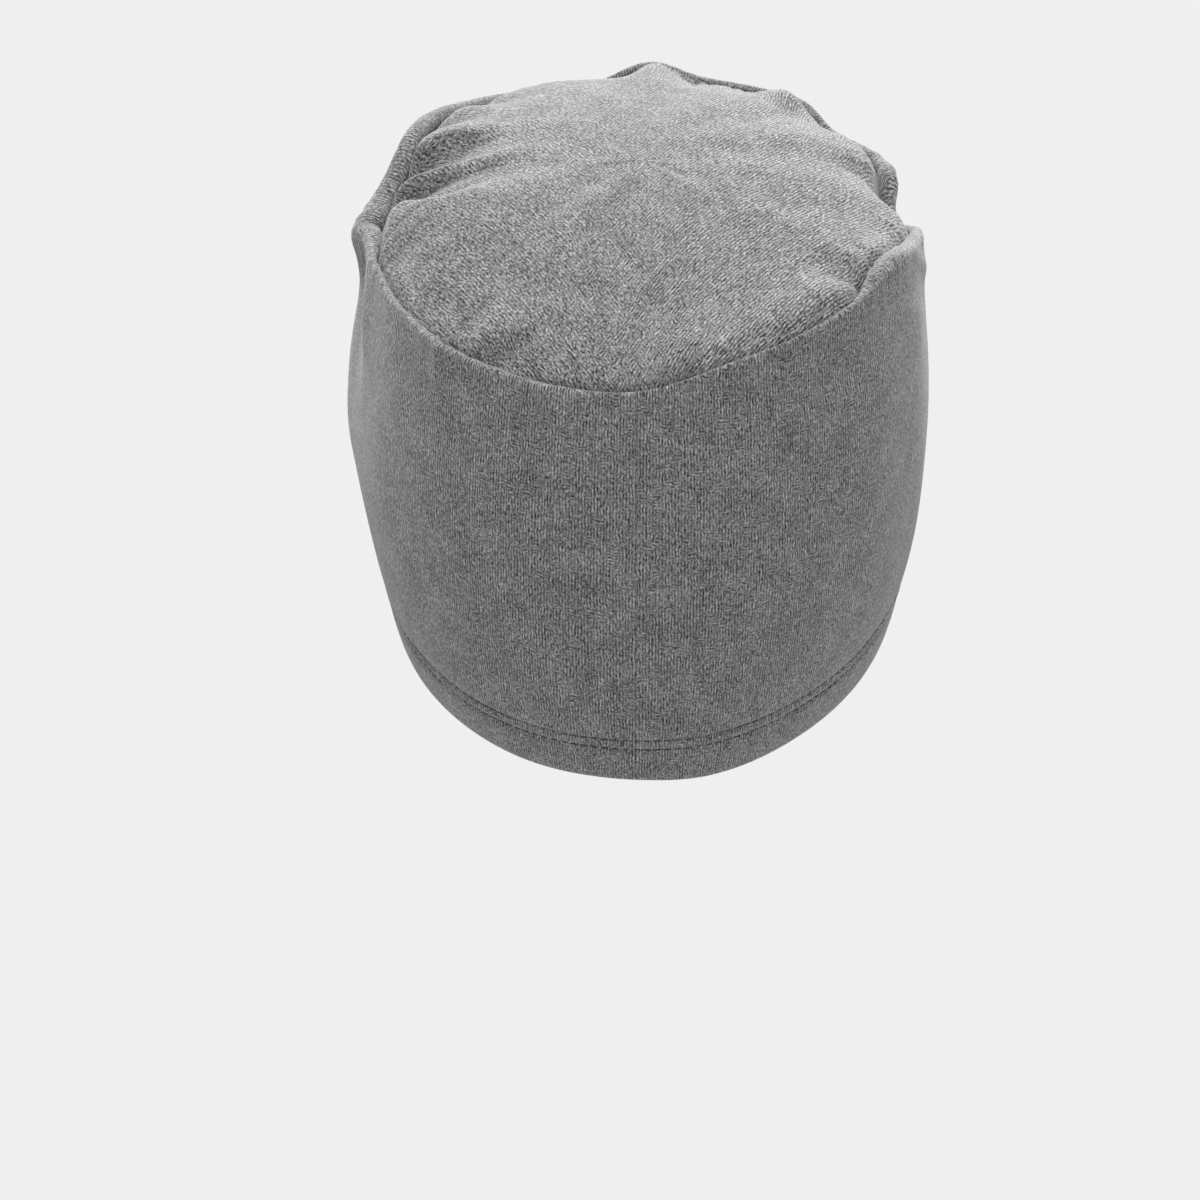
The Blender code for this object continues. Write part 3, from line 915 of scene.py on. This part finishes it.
knit = knit_group()
print("heathered knit:", len(knit.nodes), "nodes")

# %% [markdown]
# ## The two jersey finishes
# Both panels are cut from the same cloth. On the side panel the ribs run up the cap. On the crown they
# slant one way on the left and the other way on the right, with the two mixed in the middle. The cloth is
# matt, and its fuzz catches light at grazing angles, which is what the shader's sheen does.

# %% Make the jersey
def jersey(name, knit_sizes, dark, light):
    finish = bpy.data.materials.new(name)
    finish.use_nodes = True
    tree = finish.node_tree
    shader = tree.nodes["Principled BSDF"]
    shader.inputs["Roughness"].default_value = 0.92
    shader.inputs["Specular IOR Level"].default_value = 0.15
    shader.inputs["Sheen Weight"].default_value = 0.36
    shader.inputs["Sheen Roughness"].default_value = 0.45
    pattern = tree.nodes.new("ShaderNodeGroup")
    pattern.node_tree = knit
    for socket, value in knit_sizes.items():
        pattern.inputs[socket].default_value = value
    pattern.inputs["Dark yarn"].default_value = (*dark, 1)
    pattern.inputs["Light yarn"].default_value = (*light, 1)
    cloth = new_node(tree, "ShaderNodeUVMap", {"uv_map": "cloth"})
    relief = new_node(tree, "ShaderNodeBump", None, {"Strength": 0.55, "Distance": 0.0004})
    tree.links.new(cloth.outputs["UV"], pattern.inputs["Cloth"])
    tree.links.new(pattern.outputs["Colour"], shader.inputs["Base Color"])
    tree.links.new(pattern.outputs["Height"], relief.inputs["Height"])
    tree.links.new(relief.outputs["Normal"], shader.inputs["Normal"])
    return finish


DARK_YARN = (0.016, 0.016, 0.017)
LIGHT_YARN = (0.486, 0.486, 0.493)
SIDE_KNIT = {"First turn": 0.0, "Second turn": math.radians(84), "Second where above": 0.57, "Lean": 0.0,
             "Stroke width": 0.00038, "Stroke length": 0.0010, "Rib pitch": 0.00088}
CROWN_KNIT = {"First turn": math.radians(33), "Second turn": math.radians(-30), "Second where above": 0.5,
              "Lean": 6.5, "Stroke width": 0.00040, "Stroke length": 0.0013, "Rib pitch": 0.00108,
              "Rib strength": 0.20, "Contrast": 0.63}
side_jersey = jersey("side jersey cloth", SIDE_KNIT, DARK_YARN, LIGHT_YARN)
crown_jersey = jersey("crown jersey cloth", CROWN_KNIT, DARK_YARN, LIGHT_YARN)
side_cloth.data.materials.append(side_jersey)
crown_cloth.data.materials.append(crown_jersey)
print("finishes:", side_jersey.name, "and", crown_jersey.name)

# %% [markdown]
# ## The thread
# The thread is darker than the cloth and a little smoother. Its dark colour is partly the thread's own and
# partly painted shade of the groove it lies in. A fine noise along it stands for its twist.

# %% Make the thread
def finish_thread(finish):
    finish.use_nodes = True
    tree = finish.node_tree
    shader = tree.nodes["Principled BSDF"]
    shader.inputs["Roughness"].default_value = 0.75
    place = new_node(tree, "ShaderNodeTexCoord")
    twist = new_node(tree, "ShaderNodeTexNoise", None, {"Scale": 2600.0, "Detail": 2.0})
    thread_and_groove_shade = new_node(tree, "ShaderNodeMix", {"data_type": "RGBA"})
    # Dark thread colours: partly the thread's own, partly painted shade of the stitch grooves.
    thread_and_groove_shade.inputs[6].default_value = (0.014, 0.014, 0.015, 1)
    thread_and_groove_shade.inputs[7].default_value = (0.050, 0.050, 0.052, 1)
    tree.links.new(place.outputs["Object"], twist.inputs["Vector"])
    tree.links.new(twist.outputs["Fac"], thread_and_groove_shade.inputs["Factor"])
    tree.links.new(thread_and_groove_shade.outputs[2], shader.inputs["Base Color"])


finish_thread(thread_finish)
print("thread on", len(hem_stitches.data.materials), "piece")

# %% [markdown]
# ## Hang the pieces on the cap's root
# Each sheet takes the place of its part of the construction model, which is hidden, and hangs from the cap's
# root. The side panel is a straight strip, stretched over the head, and the crown is an oval, gathered.

# %% Hang the pieces on the root
for piece, name in ((side_cloth, "side"), (crown_cloth, "crown")):
    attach(piece, "root")
    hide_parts(name + "_panel")
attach(hem_stitches, "root")

# %% [markdown]
# ## Floor, light and camera
# The cap is looked at a little from above, from behind. A wide key light from overhead makes the crown
# bright, a rim light from beyond the cap lifts its far edge, and weak lights from the right and from the
# camera's side keep the side panel quiet and the shadows of the folds soft. The floor is a plain pale
# sheet, well below the cap.

# %% The floor
def floor_sheet():
    mesh = bpy.data.meshes.new("floor")
    half, low = 30.0, -0.62
    corners = [(-half, -half, low), (half, -half, low), (half, half, low), (-half, half, low)]
    mesh.from_pydata(corners, [], [(0, 1, 2, 3)])
    floor = bpy.data.objects.new("floor", mesh)
    bpy.context.scene.collection.objects.link(floor)
    paint = bpy.data.materials.new("pale floor")
    paint.use_nodes = True
    shader = paint.node_tree.nodes["Principled BSDF"]
    shader.inputs["Base Color"].default_value = (0.428, 0.428, 0.430, 1)
    shader.inputs["Roughness"].default_value = 1.0
    shader.inputs["Specular IOR Level"].default_value = 0.0
    mesh.materials.append(paint)
    return floor


floor_sheet()

# %% The lights
SKY = 0.44
world = bpy.data.worlds.new("studio")
world.use_nodes = True
world.node_tree.nodes["Background"].inputs["Color"].default_value = (1, 1, 1, 1)
world.node_tree.nodes["Background"].inputs["Strength"].default_value = SKY
bpy.context.scene.world = world


def soft_sun(name, strength, width, angle, height):
    """A wide far-off light, at an angle round the cap from the nape and at a height over the floor."""
    light = bpy.data.lights.new(name, "SUN")
    light.energy = strength
    light.angle = math.radians(width)
    angle, height = math.radians(angle), math.radians(height)
    level = math.cos(height)
    towards = Vector((math.sin(angle) * level, math.cos(angle) * level, math.sin(height)))
    piece = bpy.data.objects.new(name, light)
    piece.rotation_mode = "QUATERNION"
    piece.rotation_quaternion = towards.to_track_quat("Z", "Y")
    bpy.context.scene.collection.objects.link(piece)
    return light


key = soft_sun("overhead key", 2.74, 30, 165, 80)
rim = soft_sun("rim light", 4.85, 36, 182, 20)
soft_sun("right light", 0.15, 50, 270, 28)
soft_sun("fill", 0.70, 60, 0, 50)
bpy.context.scene.view_settings.view_transform = "Standard"
print("sky", SKY, "key", round(key.energy, 2), "rim", round(rim.energy, 2))

# %% The camera
AZIMUTH = math.radians(181.0)
ELEVATION = math.radians(21.0)
DISTANCE = 1.5
TARGET = Vector((0.0118, 0.0, -0.1341))
back = Vector((math.sin(AZIMUTH) * math.cos(ELEVATION), -math.cos(AZIMUTH) * math.cos(ELEVATION),
               math.sin(ELEVATION)))
lens = bpy.data.cameras.new("camera")
lens.lens = 152
lens.sensor_width = 36
lens.clip_start = 0.01
camera = bpy.data.objects.new("camera", lens)
camera.location = TARGET + back * DISTANCE
camera.rotation_mode = "QUATERNION"
camera.rotation_quaternion = (-back).to_track_quat("-Z", "Y")
bpy.context.scene.collection.objects.link(camera)
bpy.context.scene.camera = camera
print("camera at", [round(v, 3) for v in camera.location])
